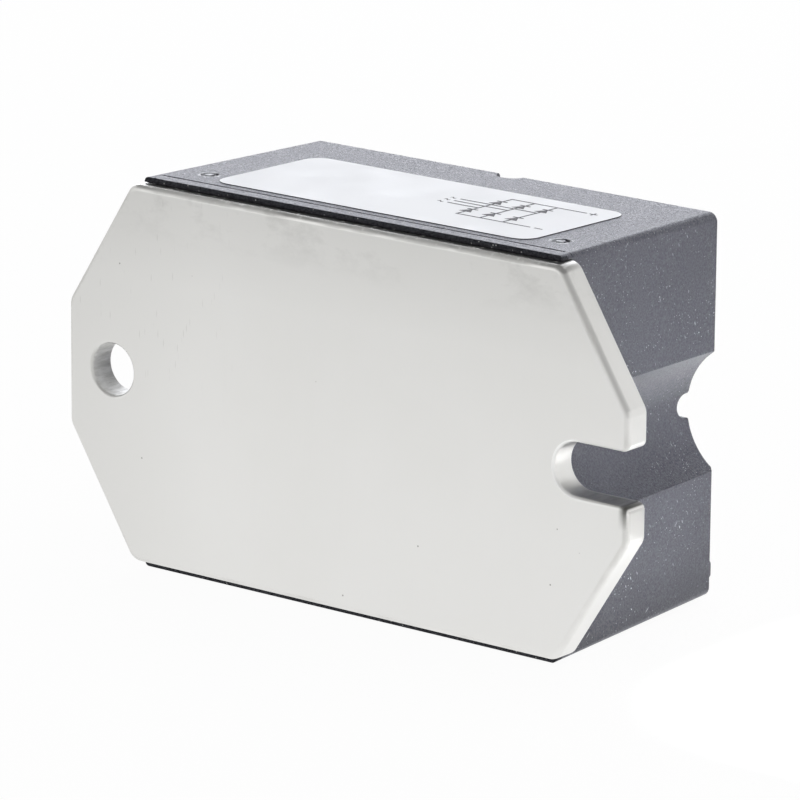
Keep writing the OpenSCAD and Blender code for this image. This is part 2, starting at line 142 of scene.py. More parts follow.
# a merged copy of a node's mesh, with its flat faces whole again
def nodeCopy(node, name):
    deselectAll()
    piece = bpy.data.objects.new(name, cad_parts[node].data.copy())
    bpy.context.scene.collection.objects.link(piece)
    piece.data.materials.clear()
    editAll(piece)
    bpy.ops.mesh.remove_doubles(threshold=handwork["merge"] * mm)
    bpy.ops.mesh.dissolve_limited(angle_limit=math.radians(handwork["flat"]))
    leaveEdit()
    return piece


# joins several pieces into one mesh with its place applied
def joined(pieces, name):
    deselectAll()
    for piece in pieces:
        piece.select_set(True)
    bpy.context.view_layer.objects.active = pieces[0]
    bpy.ops.object.join()
    piece = named(name)
    applyPlace(piece)
    return piece


# a copy with its own mesh
def copied(piece, name, location):
    twin = piece.copy()
    twin.data = piece.data.copy()
    twin.name = name
    twin.data.name = name
    bpy.context.scene.collection.objects.link(twin)
    twin.location = location
    applyPlace(twin)
    return twin


def finishPiece(piece, material, slotName, *nodes):
    piece.data.materials.clear()
    piece.data.materials.append(material)
    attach(piece, "root")
    if nodes:
        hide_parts(*nodes)
    print("piece done:", piece.name, len(piece.data.polygons), "faces")


# small helpers for materials; every pattern reads the piece's own coordinates, in metres
specks = {
    "core": 0.4,  # share of a dot's radius that is full
    "faintest": 0.3,  # brightness of the faintest dot
}


def startMaterial(name):
    made = bpy.data.materials.new(name)
    made.use_nodes = True
    return made, made.node_tree, made.node_tree.nodes["Principled BSDF"]


# fills a node's inputs: a socket is linked, a plain value is set
def feed(tree, node, inputs):
    for key, value in inputs.items():
        if isinstance(value, bpy.types.NodeSocket):
            tree.links.new(value, node.inputs[key])
        else:
            node.inputs[key].default_value = value


def addNode(tree, kind, inputs=None, **settings):
    made = tree.nodes.new(kind)
    for key, value in settings.items():
        setattr(made, key, value)
    feed(tree, made, inputs or {})
    return made


# the piece's own coordinates, stretched, turned and then shifted
def place(tree, stretch=(1, 1, 1), shift=(0, 0, 0), turn=(0, 0, 0)):
    coords = addNode(tree, "ShaderNodeTexCoord").outputs["Object"]
    mapped = addNode(tree, "ShaderNodeMapping", {
        "Vector": coords, "Location": shift, "Rotation": turn, "Scale": stretch})
    return mapped.outputs["Vector"]


def component(tree, vector, name):
    return addNode(tree, "ShaderNodeSeparateXYZ", {"Vector": vector}).outputs[name]


def axis(tree, name):
    return component(tree, addNode(tree, "ShaderNodeTexCoord").outputs["Object"], name)


# how far the face looks along one axis, from -1 to 1
def facing(tree, name):
    return component(tree, addNode(tree, "ShaderNodeNewGeometry").outputs["True Normal"], name)


def noise(tree, scale, detail, rough, stretch=(1, 1, 1), shift=(0, 0, 0)):
    made = addNode(tree, "ShaderNodeTexNoise", {
        "Vector": place(tree, stretch, shift), "Scale": scale, "Detail": detail, "Roughness": rough})
    return made.outputs["Fac"]


# takes a value from low..high to outLow..outHigh, and no further
def span(tree, value, low, high, outLow=0.0, outHigh=1.0):
    made = addNode(tree, "ShaderNodeMapRange", {
        "Value": value, "From Min": low, "From Max": high, "To Min": outLow, "To Max": outHigh})
    return made.outputs["Result"]


# grows along an axis between two places, which are in mm from an origin in metres
def zone(tree, name, ends, full=1.0, origin=0.0):
    return span(tree, axis(tree, name), origin + ends[0] * mm, origin + ends[1] * mm, 0.0, full)


def combine(tree, kind, first, second):
    return addNode(tree, "ShaderNodeMath", {0: first, 1: second}, operation=kind).outputs["Value"]


def product(tree, first, *others):
    for other in others:
        first = combine(tree, "MULTIPLY", first, other)
    return first


def absolute(tree, value):
    return addNode(tree, "ShaderNodeMath", {0: value}, operation="ABSOLUTE").outputs["Value"]


# how far a point lies from a line, in metres; flat is 0 along the line and 1 across it
def lineDistance(tree, centre, flat):
    away = place(tree, flat, tuple(-along * keep for along, keep in zip(centre, flat)))
    return addNode(tree, "ShaderNodeVectorMath", {0: away}, operation="LENGTH").outputs["Value"]


def tint(tree, factor, first, second):
    made = addNode(tree, "ShaderNodeMix", {0: factor}, data_type="RGBA")
    for key, colour in ((6, first), (7, second)):
        feed(tree, made, {key: (*colour, 1) if isinstance(colour, tuple) else colour})
    return made.outputs[2]


# the depth is in mm
def bump(tree, height, depth, strength, below=None):
    made = addNode(tree, "ShaderNodeBump", {
        "Height": height, "Strength": strength, "Distance": depth * mm})
    if below:
        feed(tree, made, {"Normal": below})
    return made.outputs["Normal"]


# some of the cells of a pattern, each with its own brightness, as dots with a radius in mm
def sparse(tree, grid, scale, radius, part):
    chance = addNode(tree, "ShaderNodeSeparateColor", {"Color": grid.outputs["Color"]})
    chosen = combine(tree, "LESS_THAN", chance.outputs["Red"], part)
    reach = radius * mm * scale
    near = span(tree, grid.outputs["Distance"], reach, reach * specks["core"])
    bright = span(tree, chance.outputs["Green"], 0.0, 1.0, specks["faintest"], 1.0)
    return product(tree, near, bright, chosen)


def dots(tree, scale, radius, part, stretch=(1, 1, 1), shift=(0, 0, 0)):
    grid = addNode(tree, "ShaderNodeTexVoronoi", {
        "Vector": place(tree, stretch, shift), "Scale": scale})
    return sparse(tree, grid, scale, radius, part)


# short hairs on the faces that look along X, drawn out along a line at the given angle
def hairs(tree, scale, radius, part, angle, stretch):
    turned = place(tree, turn=(angle, math.pi / 2, 0))
    drawn = addNode(tree, "ShaderNodeMapping", {"Vector": turned, "Scale": (stretch, 1, 1)})
    grid = addNode(tree, "ShaderNodeTexVoronoi", {
        "Vector": drawn.outputs["Vector"], "Scale": scale}, voronoi_dimensions="2D")
    sideways = span(tree, absolute(tree, facing(tree, "X")), 0.6, 0.9)
    return product(tree, sparse(tree, grid, scale, radius, part), sideways)


# camera, at the photograph's place; the picture is square
view = {
    "place": (0.37476, -0.48519, 0.18304),
    "yaw": 38.109,  # degrees round to the left of straight ahead
    "pitch": 14.973,  # degrees downwards
    "roll": 0.536,
    "lens": 278.03,
    "sensor": 36.0,
    "nearest": 0.01,  # m from which things are seen
}


def addCamera():
    turns = ((view["yaw"], "Z"), (90 - view["pitch"], "X"), (view["roll"], "Z"))
    turn = Matrix.Identity(3)
    for degrees, name in turns:
        turn = turn @ Matrix.Rotation(math.radians(degrees), 3, name)
    deselectAll()
    bpy.ops.object.camera_add(location=view["place"], rotation=turn.to_euler())
    camera = bpy.context.object
    camera.name = "camera"
    camera.data.lens = view["lens"]
    camera.data.sensor_width = view["sensor"]
    camera.data.sensor_height = view["sensor"]
    camera.data.clip_start = view["nearest"]
    bpy.context.scene.camera = camera
    print("camera placed")


# base plate: a stamped plate with rolled edges round its mounting face
plate = {
    "straight": 55.0,  # long edges between the slants, mm
    "earEnd": 13.2,
    "cornerRound": 1.6,
    "holeWide": 5.5,
    "holeX": -30.0,
    "slotX": 29.75,
    "mouthRound": 0.8,
    "roll": 0.7,
    "holeRoll": 0.35,
    "backEdge": 0.12,
    "cornerSteps": 8,
    "rollSteps": 6,
    "holeSteps": 96,
    "merge": 0.002,  # mm within which points are one after the cuts
    "rolledFrom": 0.5,  # cosine of the angle from which an edge is rolled
    "holeReach": 1.5,  # hole radii round its axis in which an edge belongs to the hole
    "slotReach": 2,  # the same to the left of the slot's axis
    "smooth": 40,  # degrees up to which the plate is shaded smooth

    # where its marks begin and where they are full, in mm
    "paintedReflectionZ": (31, 41),
    "paintedReflectionX": (-18, -36),
    "wipedZ": (35, 40),
    "crumbZ": (40.45, 40.65),
    "scuffX": (-12, -20),
    "scuffZ": (18, 24),
    "wallReach": (0.6, 0.55),  # from the hole's axis, as shares of its width
    "arcReach": (0.68, 0.62),  # the same from the axis of the slot's end
    "arcX": (30.5, 29.5),
    "floorX": (28.5, 30.5),
    "floorY": (-0.3, -0.5),  # from the back face
    "floorZ": (1.5, 0.5),  # from the slot's floor, as are the next ones along Z
    "lipZ": (0.4, 0.2),
    "cornerZ": (-2.4, -0.6),
    "cornerFrom": (-1.1, -0.45),  # along X from the end of the ear
    "cornerTo": (-0.15, -0.25),

    "nickel": ((0.755, 0.752, 0.733), (0.772, 0.769, 0.753)),
    "paintedReflectionNickel": (0.64, 0.637, 0.618),
    "wipedNickel": (0.50, 0.497, 0.48),
    "earNickel": (0.56, 0.557, 0.543),
    "crumb": (0.80, 0.80, 0.78),
    "tornWall": (0.93, 0.93, 0.92),
    "paintedSlotReflection": (0.40, 0.397, 0.38),
    "paintedCornerReflection": (0.12, 0.118, 0.110),
    "paintedRollReflection": (0.95, 0.95, 0.94),
    "speck": (0.20, 0.19, 0.17),
    "scuff": (0.45, 0.44, 0.42),
}


# what lies near the axis of the hole or of the slot's round end
def nearAxis(tree, alongX, reach):
    low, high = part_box("base_plate")
    away = lineDistance(tree, (alongX * mm, 0, (low.z + high.z) / 2), (1, 0, 1))
    far, close = (part * plate["holeWide"] * mm for part in reach)
    return span(tree, away, far, close)


# the walls that run through the plate
def wallMask(tree):
    return span(tree, absolute(tree, facing(tree, "Y")), 0.5, 0.3)


# around the slot's lower lip: its floor and a corner on the roll, which get painted dark reflections,
# and the ear's end, which is darker
def slotMasks(tree):
    low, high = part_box("base_plate")
    floorZ = (low.z + high.z) / 2 - plate["holeWide"] / 2 * mm
    floor = product(
        tree, wallMask(tree), span(tree, facing(tree, "Z"), 0.6, 0.9),
        zone(tree, "X", plate["floorX"]),
        zone(tree, "Z", plate["floorZ"], origin=floorZ),
        zone(tree, "Y", plate["floorY"], origin=high.y))
    below = zone(tree, "Z", plate["lipZ"], origin=floorZ)
    corner = product(
        tree, zone(tree, "X", plate["cornerFrom"], origin=high.x),
        zone(tree, "X", plate["cornerTo"], origin=high.x),
        zone(tree, "Z", plate["cornerZ"], 0.9, floorZ), below)
    end = product(tree, span(tree, facing(tree, "X"), 0.9, 0.97), below)
    return floor, corner, end


def plateMaterial():
    made, tree, shader = startMaterial("satinNickel")
    cloud = noise(tree, 45, 3, 0.6)
    fine = noise(tree, 5200, 2, 0.6)
    streak = noise(tree, 900, 3, 0.6, stretch=(1.0, 1.0, 0.06))
    base = tint(tree, span(tree, cloud, 0.35, 0.65), *plate["nickel"])
    # painted darker reflection towards the top and the left of the mounting face
    dim = combine(tree, "ADD", zone(tree, "Z", plate["paintedReflectionZ"], 0.6), zone(tree, "X", plate["paintedReflectionX"], 0.5))
    base = tint(tree, dim, base, plate["paintedReflectionNickel"])
    wiped = noise(tree, 260, 5, 0.7, stretch=(0.6, 1.0, 1.0), shift=(0.2, 0.4, 0.1))
    wiped = product(tree, span(tree, wiped, 0.50, 0.68), zone(tree, "Z", plate["wipedZ"], 0.6))
    base = tint(tree, wiped, base, plate["wipedNickel"])

    # pale crumbs of plastic lie along the upper edge
    crumbs = dots(tree, 1500, 0.22, 0.6, shift=(0.4, 0.1, 0.2))
    crumbs = product(tree, crumbs, zone(tree, "Z", plate["crumbZ"]))
    base = tint(tree, crumbs, base, plate["crumb"])

    # the wall of the round hole is sheared and rough
    torn = span(tree, noise(tree, 1400, 3, 0.7, stretch=(1.0, 0.2, 1.0)), 0.35, 0.65)
    wall = product(tree, nearAxis(tree, plate["holeX"], plate["wallReach"]), wallMask(tree))
    tornWall = product(tree, wall, torn)
    base = tint(tree, tornWall, base, plate["tornWall"])

    # painted dark reflections on the slot's lower lip, its floor streaked by the torn pattern; the ear's
    # end below it is darker
    floor, corner, end = slotMasks(tree)
    base = tint(tree, end, base, plate["earNickel"])
    floor = product(tree, floor, span(tree, torn, 0.0, 1.0, 0.6, 1.0))
    base = tint(tree, floor, base, plate["paintedSlotReflection"])
    base = tint(tree, corner, base, plate["paintedCornerReflection"])

    # the rolled edge is rubbed dull in places, and gets a painted pale reflection round the slot's end
    lean = absolute(tree, facing(tree, "Y"))
    rolled = product(tree, span(tree, lean, 0.995, 0.96), span(tree, lean, 0.08, 0.2))
    arc = nearAxis(tree, plate["slotX"], plate["arcReach"])
    arc = product(tree, arc, zone(tree, "X", plate["arcX"]))
    base = tint(tree, product(tree, rolled, arc), base, plate["paintedRollReflection"])
    rubbed = span(tree, noise(tree, 120, 3, 0.6, shift=(0.6, 0.1, 0.3)), 0.42, 0.60, 0.0, 0.35)
    rubbed = combine(tree, "MAXIMUM", rubbed, product(tree, arc, 0.3))

    # dark specks all over, and scuffs that are denser near the hole
    base = tint(tree, dots(tree, 300, 0.12, 0.5), base, plate["speck"])
    scuffed = product(tree, zone(tree, "X", plate["scuffX"]), zone(tree, "Z", plate["scuffZ"]))
    scuffs = dots(tree, 2500, 0.08, 0.5, stretch=(1.0, 0.3, 0.15))
    scuffs = product(tree, scuffs, span(tree, scuffed, 0.0, 1.0, 0.02, 0.3))
    base = tint(tree, scuffs, base, plate["scuff"])

    rough = combine(tree, "ADD", span(tree, fine, 0.3, 0.7, 0.29, 0.36),
                    span(tree, streak, 0.55, 0.8, 0.0, 0.07))
    rough = combine(tree, "ADD", rough, product(tree, wall, 0.35))
    rough = combine(tree, "ADD", rough, product(tree, rolled, rubbed))
    ground = bump(tree, tornWall, 0.05, 1.0)
    ground = bump(tree, fine, 0.004, 0.25, ground)
    feed(tree, shader, {
        "Base Color": base,
        "Metallic": span(tree, crumbs, 0.0, 1.0, 1.0, 0.0),
        "Roughness": rough,
        "Normal": bump(tree, streak, 0.004, 0.2, ground),
    })
    return made


# a block with its ears cut slanting and the corners of its outline rounded
def plateBlank(low, high, middle):
    deselectAll()
    bpy.ops.mesh.primitive_cube_add(size=1, location=middle)
    piece = named("basePlate")
    piece.scale = high - low
    applyPlace(piece)
    earHalf = plate["earEnd"] / 2 * mm
    straightHalf = plate["straight"] / 2 * mm
    for sideX in (-1, 1):
        for sideZ in (-1, 1):
            ear = Vector((sideX * high.x, 0, middle.z + sideZ * earHalf))
            shoulder = Vector((sideX * straightHalf, 0, middle.z + sideZ * (high.z - middle.z)))
            along = shoulder - ear
            outward = Vector((sideX * abs(along.z), 0, sideZ * abs(along.x))).normalized()
            editAll(piece)
            bpy.ops.mesh.bisect(plane_co=ear, plane_no=outward, use_fill=True, clear_outer=True)
            leaveEdit()

    # a wide corner takes a shorter cut for the same radius
    slope = math.atan2(high.x - straightHalf, high.z - middle.z - earHalf)
    radius = plate["cornerRound"] * mm
    corners = (
        (high.x, earHalf, radius * math.tan(slope / 2)),
        (straightHalf, high.z - middle.z, radius * math.tan((math.pi / 2 - slope) / 2)),
    )
    for cornerX, cornerZ, offset in corners:
        editEdges(piece, lambda at, along: abs(along.y) > mm
                  and abs(abs(at.x) - cornerX) < touch
                  and abs(abs(at.z - middle.z) - cornerZ) < touch)
        bpy.ops.mesh.bevel(offset=offset, segments=plate["cornerSteps"], affect="EDGES")
        leaveEdit()
    return piece


# the round hole, and the slot with its rounded mouth
def cutHoles(piece, low, high, middle):
    # one cut along the middle keeps the faces round the hole and the slot simple
    editAll(piece)
    bpy.ops.mesh.bisect(plane_co=middle, plane_no=(0, 0, 1))
    leaveEdit()
    holeRadius = plate["holeWide"] / 2 * mm
    for holeX in (plate["holeX"], plate["slotX"]):
        deselectAll()
        bpy.ops.mesh.primitive_cylinder_add(
            vertices=plate["holeSteps"], radius=holeRadius, depth=(high.y - low.y) * 2,
            location=(holeX * mm, middle.y, middle.z), rotation=(math.pi / 2, 0, 0))
        cutAway(piece, named("cutter"))
    deselectAll()
    bpy.ops.mesh.primitive_cube_add(size=1, location=(high.x, middle.y, middle.z))
    cutter = named("cutter")
    cutter.scale = (2 * (high.x - plate["slotX"] * mm), (high.y - low.y) * 2, 2 * holeRadius)
    cutAway(piece, cutter)
    editAll(piece)
    bpy.ops.mesh.remove_doubles(threshold=plate["merge"] * mm)
    leaveEdit()
    editEdges(piece, lambda at, along: abs(along.y) > mm and at.x > high.x - touch
              and abs(abs(at.z - middle.z) - holeRadius) < touch)
    bpy.ops.mesh.bevel(offset=plate["mouthRound"] * mm, segments=plate["cornerSteps"], affect="EDGES")
    leaveEdit()


# the roll is wide on the outline, narrow in the hole and the slot, and slight at the back
def rollEdges(piece, low, high, middle):
    faces = {}
    for face in piece.data.polygons:
        for key in face.edge_keys:
            faces.setdefault(key, []).append(face.normal.copy())
    weights = piece.data.attributes.new("bevel_weight_edge", "FLOAT", "EDGE")
    points = piece.data.vertices
    holeRadius = plate["holeWide"] / 2 * mm
    holeCentre = Vector((plate["holeX"] * mm, low.y, middle.z))
    slotStart = plate["slotX"] * mm - plate["slotReach"] * holeRadius
    mouth = holeRadius + plate["mouthRound"] * mm
    holeShare = plate["holeRoll"] / plate["roll"]
    for edge in piece.data.edges:
        normals = faces[edge.key]
        if len(normals) < 2 or normals[0].dot(normals[1]) > plate["rolledFrom"]:
            continue
        first, last = (points[i].co for i in edge.vertices)
        if abs(first.y - last.y) >= touch:
            continue
        at = (first + last) / 2
        if abs(at.y - low.y) < touch:
            offCentre = abs(at.z - middle.z)
            inSlot = at.x > slotStart and offCentre < mouth
            inHole = (at - holeCentre).length < plate["holeReach"] * holeRadius
            weight = 1.0
            if inHole or inSlot:
                blend = max(0.0, min(1.0, (offCentre - holeRadius) / (mouth - holeRadius)))
                weight = holeShare + (1 - holeShare) * (blend if inSlot else 0)
            weights.data[edge.index].value = weight
        elif abs(at.y - high.y) < touch:
            weights.data[edge.index].value = plate["backEdge"] / plate["roll"]
    useModifier(piece, "BEVEL", width=plate["roll"] * mm, segments=plate["rollSteps"],
                limit_method="WEIGHT", use_clamp_overlap=False)


def addPlate():
    low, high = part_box("base_plate")
    middle = (low + high) / 2
    piece = plateBlank(low, high, middle)
    cutHoles(piece, low, high, middle)
    rollEdges(piece, low, high, middle)
    smoothShade(piece, plate["smooth"])
    finishPiece(piece, plateMaterial(), "nickel_plate", "base_plate")


# housing: the moulding itself, with its scallops made round again
housing = {
    "scallopX": 30.0,
    "scallopDrop": 0.5,  # mm that the scallops lie under the plate's axis
    "scallopRound": 7.4,
    "smooth": 30,  # degrees up to which the housing is shaded smooth
    "edge": 0.28,  # mm, softness of the moulded edges
    "edgeSamples": 6,

    # where its marks lie, in mm; of two numbers the second is where the mark is full
    "lipFront": -16.0,  # Y of the front of the lip, which gets painted shade
    "lipFrontBlend": (0.01, -0.02),
    "lipEnd": -15.05,  # Y up to which the ends of the lip get painted shade
    "lipEndBlend": (0.04, -0.04),
    "seam": -14.35,  # Y of the fine line along the lip
    "seamReach": (0.10, 0.05),
    "markX": 22.5,
    "markY": -10.7,
    "markZ": (38, 39),
    "markReach": (1.3, 1.2),
    "paintedFloorLightZ": (15, 1),

    "plastic": ((0.064, 0.066, 0.082), (0.074, 0.076, 0.093)),
    "grain": (0.125, 0.128, 0.155),
    "paintedFloorLight": (0.125, 0.128, 0.145),
    "paintedTableLight": (0.250, 0.255, 0.280),
    "paintedEdgeHighlight": (0.42, 0.43, 0.45),
    "shadedEdge": (0.015, 0.015, 0.018),
    "dirt": (0.80, 0.81, 0.84),
    "mark": (0.42, 0.43, 0.46),
    "seamTone": (0.010, 0.010, 0.012),
    "paintedLipShade": ((0.022, 0.022, 0.027), (0.040, 0.041, 0.048)),
    "fleck": (0.75, 0.75, 0.75),
    "glossTint": (0.93, 0.94, 1.0, 1.0),
    "sheenTint": (0.86, 0.88, 1.0, 1.0),
    "sheen": 0.2,
    "sheenRough": 0.22,
}


# the front and the ends of the lip get painted shade, almost black
def lipMask(tree):
    sideways = span(tree, absolute(tree, facing(tree, "X")), 0.6, 0.8)
    front = zone(tree, "Y", housing["lipFrontBlend"], origin=housing["lipFront"] * mm)
    ends = zone(tree, "Y", housing["lipEndBlend"], origin=housing["lipEnd"] * mm)
    return combine(tree, "MAXIMUM", front, product(tree, ends, sideways))


# the fine line along the lip, on the faces that look up
def seamMask(tree):
    away = absolute(tree, combine(tree, "SUBTRACT", axis(tree, "Y"), housing["seam"] * mm))
    far, close = housing["seamReach"]
    return product(tree, span(tree, away, far * mm, close * mm), span(tree, facing(tree, "Z"), 0.3, 0.5))


# patches of painted light over the shaded grooves of the two round marks on the label side
def markMask(tree):
    near = []
    far, close = housing["markReach"]
    for along in (-housing["markX"], housing["markX"]):
        away = lineDistance(tree, (along * mm, housing["markY"] * mm, 0), (1, 1, 0))
        near.append(span(tree, away, far * mm, close * mm))
    paintedLight = span(tree, noise(tree, 900, 1, 0.5, shift=(0.6, 0.3, 0.0)), 0.48, 0.54)
    return product(tree, combine(tree, "MAXIMUM", *near), paintedLight, zone(tree, "Z", housing["markZ"]))


# faces that look down to the table get painted light from it; an edge over a scallop gets a painted
# highlight and an edge under it painted shade
def edgeMasks(tree, soft):
    smooth = addNode(tree, "ShaderNodeNewGeometry").outputs["Normal"]
    down = span(tree, component(tree, smooth, "Z"), -0.10, -0.75)
    bent = addNode(tree, "ShaderNodeVectorMath", {0: smooth, 1: soft}, operation="DOT_PRODUCT")
    edge = span(tree, bent.outputs["Value"], 0.95, 0.90)
    lean = component(tree, soft, "Z")
    paintedLight = product(tree, edge, span(tree, lean, -0.1, -0.3))
    shaded = product(tree, edge, span(tree, lean, 0.1, 0.25), span(tree, lean, 0.75, 0.6))
    return down, paintedLight, shaded


# dust gathers in patches: round specks, fine specks and short hairs
def dirtMask(tree):
    flakes = combine(tree, "MAXIMUM", dots(tree, 1000, 0.10, 0.7),
                     dots(tree, 2500, 0.065, 0.9, shift=(0.31, 0.17, 0.53)))
    lint = combine(tree, "MAXIMUM", hairs(tree, 800, 0.06, 0.28, 0.9, 0.13),
                   hairs(tree, 1300, 0.06, 0.22, -0.4, 0.25))
    patchy = span(tree, noise(tree, 150, 2, 0.5, shift=(0.7, 0.2, 0.4)), 0.40, 0.60, 0.25, 1.3)
    return product(tree, combine(tree, "MAXIMUM", flakes, lint), patchy)


def plasticMaterial():
    made, tree, shader = startMaterial("darkPlastic")
    soft = addNode(tree, "ShaderNodeBevel", {"Radius": housing["edge"] * mm},
                   samples=housing["edgeSamples"]).outputs["Normal"]
    cloud = noise(tree, 90, 3, 0.6)
    grain = noise(tree, 5000, 2, 0.7)
    coarse = noise(tree, 2300, 2, 0.5)
    upward = span(tree, facing(tree, "Z"), 0.4, 0.9, 0.12, 1.0)
    base = tint(tree, span(tree, cloud, 0.3, 0.7), *housing["plastic"])
    base = tint(tree, product(tree, span(tree, grain, 0.38, 0.68), upward), base, housing["grain"])
    # painted floor light: the housing is paler towards the bottom
    base = tint(tree, zone(tree, "Z", housing["paintedFloorLightZ"], 0.4), base, housing["paintedFloorLight"])
    # painted light on faces that look down, a painted highlight on the edge over a scallop, painted
    # shade on the edge under it
    down, paintedLight, shaded = edgeMasks(tree, soft)
    down = product(tree, down, span(tree, grain, 0.35, 0.65, 0.7, 1.2))
    base = tint(tree, down, base, housing["paintedTableLight"])
    base = tint(tree, paintedLight, base, housing["paintedEdgeHighlight"])
    base = tint(tree, shaded, base, housing["shadedEdge"])
    base = tint(tree, dirtMask(tree), base, housing["dirt"])
    # painted light in patches over the grooves of the round marks
    base = tint(tree, markMask(tree), base, housing["mark"])
    seam = seamMask(tree)
    base = tint(tree, seam, base, housing["seamTone"])

    # the lip's front and ends get painted shade, black with pale flecks, and are dull
    black = tint(tree, span(tree, grain, 0.4, 0.6), *housing["paintedLipShade"])
    flecks = dots(tree, 1900, 0.10, 0.6, shift=(0.11, 0.37, 0.23))
    lip = lipMask(tree)
    dull = combine(tree, "MAXIMUM", lip, seam)
    gloss = product(tree, span(tree, grain, 0.38, 0.66, 0.1, 0.95), span(tree, dull, 0.0, 1.0, 1.0, 0.3))
    skin = bump(tree, coarse, 0.03, 0.4, soft)
    feed(tree, shader, {
        "Base Color": tint(tree, lip, base, tint(tree, flecks, black, housing["fleck"])),
        "Roughness": span(tree, coarse, 0.3, 0.7, 0.42, 0.54),
        "Specular IOR Level": gloss,
        "Specular Tint": housing["glossTint"],
        "Sheen Weight": span(tree, dull, 0.0, 1.0, housing["sheen"], 0.0),
        "Sheen Roughness": housing["sheenRough"],
        "Sheen Tint": housing["sheenTint"],
        "Normal": bump(tree, product(tree, grain, upward), 0.09, 1.0, skin),
    })
    return made


# the facets of the scallops get the normals of a true cylinder
def roundScallops(piece, middleZ):
    mesh = piece.data
    radius = housing["scallopRound"] * mm
    normals = [corner.vector.copy() for corner in mesh.corner_normals]
    for face in mesh.polygons:
        sideX = math.copysign(housing["scallopX"] * mm, face.center.x)
        inward = {}
        for corner in face.loop_indices:
            at = mesh.vertices[mesh.loops[corner].vertex_index].co
            toAxis = Vector((sideX - at.x, 0, middleZ - at.z))
            if abs(toAxis.length - radius) < touch:
                inward[corner] = toAxis.normalized()
        isWall = abs(face.normal.y) < 0.1  # not one of the flat faces across the scallop's ends
        if isWall and len(inward) == len(face.loop_indices):
            for corner, normal in inward.items():
                normals[corner] = normal
    mesh.normals_split_custom_set(normals)


def addHousing():
    plateLow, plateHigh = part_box("base_plate")
    piece = nodeCopy("housing", "housing")
    editAll(piece)
    bpy.ops.mesh.normals_make_consistent(inside=False)
    leaveEdit()
    smoothShade(piece, housing["smooth"])
    roundScallops(piece, (plateLow.z + plateHigh.z) / 2 - housing["scallopDrop"] * mm)
    finishPiece(piece, plasticMaterial(), "dark_plastic", "housing")


# label: white film with a plain six-diode bridge circuit printed on its right half
circuit = {
    "film": 0.08,  # thickness of the label, mm
    "ink": 0.015,  # height of the print
    "line": 0.22,  # width of its lines
    "layer": 0.002,  # height between lines that cross
    "columns": (7.5, 10.4, 13.25),  # X of the three phases
    "inputs": (-4.5, -3.4, -2.35),  # Y at which each phase comes in
    "inputStart": 3.7,
    "plusY": 1.15,
    "minusY": -8.05,
    "plusEnd": 16.8,
    "minusEnd": 16.6,
    "signX": 17.35,
    "signSize": 0.75,
    "waveX": 2.7,
    "waveLong": 0.675,
    "waveHigh": 0.3375,
    "waveSteps": 10,
    "upperY": -1.15,
    "lowerY": -6.05,
    "diodeHigh": 1.3,
    "diodeWide": 1.5,
    "diodeBar": 1.05,
    "filmTone": ((0.680, 0.690, 0.712), (0.705, 0.715, 0.737)),
    "filmEdge": (0.05, 0.05, 0.055),
    "filmGloss": 0.12,
    "inkTone": ((0.045, 0.045, 0.05), (0.12, 0.12, 0.13)),
    "inkGloss": 0.15,
}


def filmMaterial():
    made, tree, shader = startMaterial("labelFilm")
    paper = noise(tree, 300, 3, 0.5)
    edge = span(tree, facing(tree, "Z"), 0.6, 0.4)
    feed(tree, shader, {
        "Base Color": tint(tree, edge, tint(tree, paper, *circuit["filmTone"]), circuit["filmEdge"]),
        "Roughness": span(tree, paper, 0.3, 0.7, 0.42, 0.52),
        "Specular IOR Level": circuit["filmGloss"],
    })
    return made


def inkMaterial():
    made, tree, shader = startMaterial("printInk")
    speckle = noise(tree, 4200, 2, 0.5)
    feed(tree, shader, {
        "Base Color": tint(tree, span(tree, speckle, 0.35, 0.7), *circuit["inkTone"]),
        "Roughness": span(tree, speckle, 0.3, 0.7, 0.5, 0.7),
        "Specular IOR Level": circuit["inkGloss"],
    })
    return made


# a straight line of the print; a higher layer lies over the lines that it crosses
def stroke(first, last, layer=0):
    run = Vector(last) - Vector(first)
    at = (Vector(first) + Vector(last)) / 2 * mm
    bpy.ops.mesh.primitive_plane_add(
        size=1, location=(at.x, at.y, layer * circuit["layer"] * mm),
        rotation=(0, 0, math.atan2(run.y, run.x)))
    piece = bpy.context.object
    piece.scale = ((run.length + circuit["line"]) * mm, circuit["line"] * mm, 1)
    return piece


# a strip drawn out along x whose columns are pushed aside into one full wave
def wave(name, wide, high, line):
    deselectAll()
    bpy.ops.mesh.primitive_grid_add(x_subdivisions=circuit["waveSteps"], y_subdivisions=1, size=1)
    piece = named(name)
    piece.scale = (wide * mm, line * mm, 1)
    applyPlace(piece)
    columns = sorted({round(point.co.x / mm, 4) for point in piece.data.vertices})
    for column in columns:
        editPoints(piece, lambda at: abs(at.x - column * mm) < touch)
        aside = -high / 2 * math.sin(2 * math.pi * column / wide)
        bpy.ops.transform.translate(value=(0, aside * mm, 0))
        leaveEdit()
    return piece


def diodeSymbol():
    deselectAll()
    half = circuit["diodeHigh"] / 2
    bpy.ops.mesh.primitive_circle_add(
        vertices=3, radius=1, fill_type="NGON", location=(0, -half / 3 * mm, 0))
    arrow = bpy.context.object
    arrow.scale = (circuit["diodeWide"] / math.sqrt(3) * mm, half * 4 / 3 * mm, 1)
    barHalf = circuit["diodeBar"] / 2
    return joined([arrow, stroke((-barHalf, half), (barHalf, half), 2)], "diodeSymbol")


